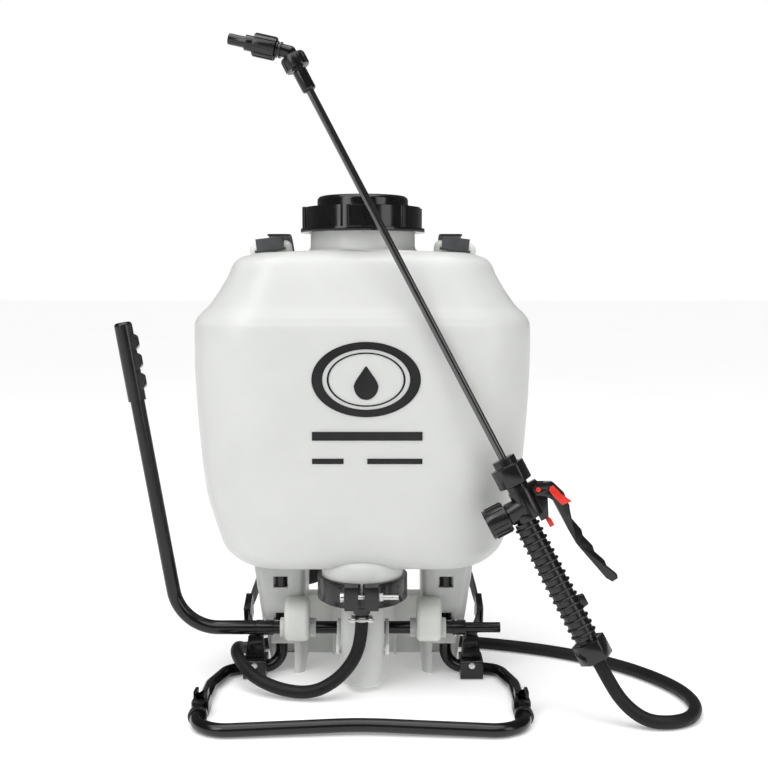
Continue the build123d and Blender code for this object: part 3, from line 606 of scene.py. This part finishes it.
def ring_patch(name, inner, outer, look):
    """An upright oval ring, given by its inner and outer half height; it is half as wide again."""
    def place(u, v):
        r = inner + (outer - inner) * v
        return on_front(MARK_X + 1.45 * r * cos(2 * pi * u), MARK_Z + r * sin(2 * pi * u))
    return printed(name, 128, 2, place, look)


def drop_patch(name, width, tall, look):
    """A plain droplet: round below, drawn to a point above."""
    def place(u, v):
        angle = 2 * pi * u
        rise = max(sin(angle), 0)
        wide = width * (1 - 0.55 * rise * rise) * (1 - 0.45 * rise)
        return on_front(MARK_X + v * wide * cos(angle),
                        MARK_Z - 6 + v * tall * (1.35 * rise if rise > 0 else sin(angle)))
    return printed(name, 48, 8, place, look)


def bar_patch(name, left, right, low, high, look):
    def place(u, v):
        return on_front(left + (right - left) * u, low + (high - low) * v)
    return printed(name, 40, 4, place, look)


def print_marks():
    ring_patch("mark_outer_ring", 30.5, 38.0, INK)
    ring_patch("mark_inner_ring", 26.0, 27.4, INK)
    drop_patch("mark_droplet", 12.5, 14.5, INK)
    bar_patch("mark_wide_bar", -50, 62, 276.0, 285.0, INK)
    bar_patch("mark_left_bar", -50, -18, 252.0, 257.5, INK)
    bar_patch("mark_right_bar", 6, 62, 252.0, 257.5, INK)


print_marks()


# ---- straps and pads ----------------------------------------------------------------------
def web(name, points, faces, width, look=None, thick=2.2):
    """A webbing strap: points in millimetres and, for each, the way its face looks."""
    line = [Vector(point) for point in points]
    looks = [Vector(face) for face in faces]
    count = 10 * (len(line) - 1)
    spots = smooth_line(line, count)
    turns = smooth_line(looks, count)
    length = sum((b - a).length for a, b in zip(spots, spots[1:])) * MM
    border = 24

    def place(u, v):
        k = round(v * count)
        run = spots[min(k + 1, count)] - spots[max(k - 1, 0)]
        face = turns[k] - run * (turns[k].dot(run) / run.dot(run))
        face.normalize()
        side = face.cross(run).normalized()
        angle = 2 * pi * u
        x = max(min(cos(angle) * 1.25, 1), -1) * width / 2
        y = max(min(sin(angle) * 2.2, 1), -1) * thick / 2
        y *= 1 - 0.35 * max(abs(x) / (width / 2) - 0.86, 0) / 0.14
        return at(*(spots[k] + side * x + face * y))

    strap = skin(count, border, place, size=(2 * width * MM, length), ends=True)
    settle(strap, name, look or WEB, 50)
    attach(strap, "root")
    return strap


def stitches(name, spots, ups, sides, length=3.0, wide=0.55):
    """A row of thread stitches, one small six-sided grain for each spot."""
    grains = []
    for spot, up, side in zip(spots, ups, sides):
        clear_selection()
        bpy.ops.mesh.primitive_uv_sphere_add(segments=6, ring_count=4, radius=0.5)
        grain = bpy.context.object
        along = up.cross(side).normalized()
        for vertex in grain.data.vertices:
            x, y, z = vertex.co
            vertex.co = (side * x * wide * 2 + along * y * length * 2 + up * z * wide * 1.4) * MM + at(*spot)
        grains.append(grain)
    clear_selection()
    for grain in grains:
        grain.select_set(True)
    bpy.context.view_layer.objects.active = grains[0]
    bpy.ops.object.join()
    row = bpy.context.object
    settle(row, name, THREAD, 60)
    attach(row, "root")
    return row


PAD_W = 58.0
PAD_T = 11.0
PAD_X = {-1: -78.0, 1: 92.0}
PAD_LOW = {-1: 76.0, 1: 96.0}


def pad_line(side, count):
    points = [(94, 421), (93.5, 340), (93, 250), (91.5, 160), (91.0, PAD_LOW[side])]
    return smooth_line([Vector((PAD_X[side], y, z)) for y, z in points], count)


CHANNELS = (0.2, 0.4, 0.6, 0.8)


def pad_half_width(v):
    """Half the pad's width along its length: full, with rounded ends."""
    end = min(v, 1 - v) / 0.09
    return PAD_W / 2 * (1 if end >= 1 else (1 - (1 - end) ** 2.2) ** 0.45)


def pad_half_thick(v, across):
    """Half the padding's thickness: crowned, pinched along its sewn channels and its edge."""
    crown = max(1 - abs(across) ** 3.0, 0) ** 0.5
    pinch = 1.0
    for channel in CHANNELS:
        pinch *= 1 - 0.42 * exp(-((v - channel) / 0.011) ** 2)
    for row in (-0.72, 0.72):
        pinch *= 1 - 0.22 * exp(-((across - row) / 0.07) ** 2)
    end = min(v, 1 - v) / 0.05
    close = 1 if end >= 1 else max(1 - (1 - end) ** 2.4, 0) ** 0.5
    wrinkle = 1 + 0.03 * sin(46 * v + 3.1 * across) + 0.02 * sin(97 * v - 5 * across)
    return (PAD_T / 2 + 0.4) * max(crown * pinch * close * wrinkle, 0.12)


def make_pad(side):
    name = "left" if side < 0 else "right"
    rows = 150
    border = 56
    spots = pad_line(side, rows)
    length = sum((b - a).length for a, b in zip(spots, spots[1:])) * MM

    def place(u, v):
        k = round(v * rows)
        angle = 2 * pi * u
        across = cos(angle)
        half = pad_half_thick(v, across)
        y = half * (1 if sin(angle) >= 0 else -1) * min(abs(sin(angle)) * 3.2, 1)
        x = across * max(pad_half_width(v) - 1.2, 0.4)
        return at(spots[k].x + x, spots[k].y + y, spots[k].z)

    pad = skin(rows, border, place, size=(2 * PAD_W * MM, length), ends=True)
    settle(pad, name + "_pad", PAD, 60)
    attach(pad, "root")
    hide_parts(name + "_shoulder_pad")
    make_pad_tape(name, spots, rows)
    make_pad_dressing(side, name)


def make_pad_tape(name, spots, rows):
    """Edge tape folded round the pad's rim."""
    rim = []
    for k in range(0, rows + 1, 3):
        rim.append((spots[k], pad_half_width(k / rows)))
    loop = [at(spot.x + half, spot.y, spot.z) for spot, half in rim]
    loop += [at(spot.x - half, spot.y, spot.z) for spot, half in reversed(rim)]
    curve = bpy.data.curves.new(name + "_pad_tape", "CURVE")
    curve.dimensions = "3D"
    curve.bevel_depth = 2.1 * MM
    curve.bevel_resolution = 3
    spline = curve.splines.new("NURBS")
    spline.points.add(len(loop) - 1)
    for point, spot in zip(spline.points, loop):
        point.co = (*spot, 1.0)
    spline.order_u = 3
    spline.use_cyclic_u = True
    curve.resolution_u = 3
    tape = bpy.data.objects.new(name + "_pad_tape", curve)
    bpy.context.scene.collection.objects.link(tape)
    activate(tape)
    bpy.ops.object.convert(target="MESH")
    tape = bpy.context.object
    settle(tape, name + "_pad_tape", TAPE, 60)
    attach(tape, "root")


def make_pad_dressing(side, name):
    """The strap sewn down the pad's face, with its stitching."""
    low = PAD_LOW[side]
    x = PAD_X[side]
    face = PAD_T / 2 + 1.3
    points = [(x, 94 + face, 397), (x, 93.5 + face, 340), (x, 93 + face, 250), (x, 91.5 + face, 165),
              (x, 91 + face, low + 8)]
    web(name + "_pad_strap", points, [(0, 1, 0)] * 5, 25)
    line = smooth_line([Vector(point) for point in points], 76)
    for edge, row in ((-10.4, "inner"), (10.4, "outer")):
        stitches(f"{name}_pad_thread_{row}", [spot + Vector((edge, 1.25, 0)) for spot in line[1:-1]],
                 [Vector((0, 1, 0))] * 75, [Vector((1, 0, 0))] * 75)


LOWER_START = {-1: (-84, 99.4, 95), 1: (90, 99.4, 108)}
LOWER_STRAP = ((-98, 101.5, 88), (-123, 98.5, 82), (-127.5, 58, 76), (-130.5, 24, 62), (-126.5, 9, 51),
               (-119.5, 2.6, 39))
LOWER_FACES = ((0, 1, 0), (0, 1, 0), (-0.5, 1, 0), (-1, 0.3, 0), (-1, -0.1, 0), (-0.9, -0.3, 0.1),
               (-0.7, -0.6, 0.2))
UPPER_STRAP = ((9, 487.4), (32, 485.6), (66, 472), (88, 446), (97, 424), (100.6, 404))
UPPER_FACES = ((0, 0, 1), (0, 0.15, 1), (0, 0.6, 1), (0, 1, 0.4), (0, 1, 0.1), (0, 1, 0))


def make_straps():
    for name, x in (("left", -92), ("right", 96)):
        points = [(x, y, z) for y, z in UPPER_STRAP]
        web(name + "_upper_strap", points, UPPER_FACES, 25)
    for name, side in (("left", -1), ("right", 1)):
        run = [(-side * x, y, z + (4 if side > 0 and y > 50 else 0)) for x, y, z in LOWER_STRAP]
        faces = [(-side * x, y, z) for x, y, z in LOWER_FACES]
        web(name + "_lower_strap", [LOWER_START[side]] + run, faces, 18)
    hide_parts("upper_webbing")
    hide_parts("lower_webbing")


make_pad(-1)
make_pad(1)
make_straps()


# ---- grip and clamp -----------------------------------------------------------------------
GRIP_LOW, GRIP_HIGH = -146.0, -17.2
GRIP_R, RIB_R, RIB_PITCH = 11.2, 13.5, 7.9


def make_grip_ribs():
    """The gun's grip: a sleeve with round beads a finger's width apart."""
    profile = [(GRIP_R - 2.0, GRIP_LOW), (GRIP_R, GRIP_LOW)]
    middle = GRIP_LOW + 4.9
    while middle < GRIP_HIGH - 3:
        for step in range(9):
            angle = pi * step / 8
            profile.append((GRIP_R + (RIB_R - GRIP_R) * sin(angle), middle - 1.5 * cos(angle)))
        middle += RIB_PITCH
    profile += [(GRIP_R, GRIP_HIGH), (GRIP_R - 2.0, GRIP_HIGH)]
    grip = turned(profile, 72, gun(GRIP_OFFSET, 0, 0), LANCE_DIR, GUN_X)
    settle(grip, "grip_sleeve", SATIN, 40)
    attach(grip, "root")
    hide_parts("grip_shell")
    clear_selection()
    bpy.ops.mesh.primitive_cube_add(size=1.0)
    tab = bpy.context.object
    for vertex in tab.data.vertices:
        x, y, z = vertex.co
        vertex.co = gun(GRIP_OFFSET + 14.2 + x * 7.6, y * 7, -112 + z * (14 if x < 0 else 11))
    bpy.ops.object.mode_set(mode="EDIT")
    bpy.ops.mesh.select_all(action="SELECT")
    bpy.ops.mesh.normals_make_consistent(inside=False)
    bpy.ops.mesh.bevel(offset=0.9 * MM, segments=3)
    bpy.ops.object.mode_set(mode="OBJECT")
    settle(tab, "grip_tab", SATIN, 35)
    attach(tab, "root")


def make_clamp_gusset(side):
    """The web that runs from the band out to the clamp's bolt lug."""
    clear_selection()
    bpy.ops.mesh.primitive_cube_add(size=1.0)
    web_piece = bpy.context.object
    for vertex in web_piece.data.vertices:
        at_lug, back, top = vertex.co.x < 0, vertex.co.y > 0, vertex.co.z > 0
        if at_lug:
            spot = (side * 12, -90 if back else -99.5, 123.5 if top else 102.5)
        else:
            spot = (side * 39, -74 if back else -76.5, 120 if top else 107)
        vertex.co = at(*spot)
    bpy.ops.object.mode_set(mode="EDIT")
    bpy.ops.mesh.select_all(action="SELECT")
    bpy.ops.mesh.normals_make_consistent(inside=False)
    bpy.ops.mesh.bevel(offset=0.8 * MM, segments=2)
    bpy.ops.object.mode_set(mode="OBJECT")
    settle(web_piece, ("left" if side < 0 else "right") + "_clamp_web", SATIN, 35)
    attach(web_piece, "root")


make_grip_ribs()
make_clamp_gusset(-1)
make_clamp_gusset(1)


# ---- floor and light ----------------------------------------------------------------------
def add_floor():
    clear_selection()
    bpy.ops.mesh.primitive_plane_add(size=60)
    floor = bpy.context.object
    floor.name = "floor"
    floor.data.materials.append(floor_paint("floor_paint"))


def area_light(name, spot, aim, size, power, tint=(1, 1, 1)):
    data = bpy.data.lights.new(name, "AREA")
    data.shape = "RECTANGLE"
    data.size, data.size_y = size
    data.energy = power
    data.color = tint
    lamp = bpy.data.objects.new(name, data)
    lamp.location = spot
    lamp.rotation_euler = (Vector(aim) - Vector(spot)).to_track_quat("-Z", "Y").to_euler()
    bpy.context.scene.collection.objects.link(lamp)


def add_light():
    world = bpy.data.worlds.new("studio")
    bpy.context.scene.world = world
    world.use_nodes = True
    back = world.node_tree.nodes["Background"]
    back.inputs["Color"].default_value = (1, 1, 1, 1)
    tree = world.node_tree
    seen = tree.nodes.new("ShaderNodeLightPath")
    strength = tree.nodes.new("ShaderNodeMapRange")
    strength.inputs["To Min"].default_value = 0.11
    strength.inputs["To Max"].default_value = 1.0
    tree.links.new(seen.outputs["Is Camera Ray"], strength.inputs["Value"])
    tree.links.new(strength.outputs["Result"], back.inputs["Strength"])
    area_light("key", (-1.5, -1.7, 1.5), (0, 0, 0.35), (0.9, 1.6), 17)
    area_light("fill", (1.7, -1.4, 1.0), (0, 0, 0.3), (0.8, 1.4), 9)
    area_light("top", (0, 0.1, 2.2), (0, 0, 0.2), (1.8, 1.2), 9)
    data = bpy.data.lights.new("sky", "SUN")
    data.energy = 2.5
    data.angle = radians(70)
    sky = bpy.data.objects.new("sky", data)
    sky.rotation_euler = (radians(20), radians(-8), 0)
    bpy.context.scene.collection.objects.link(sky)


add_floor()
add_light()
bpy.context.scene.view_settings.view_transform = "Standard"
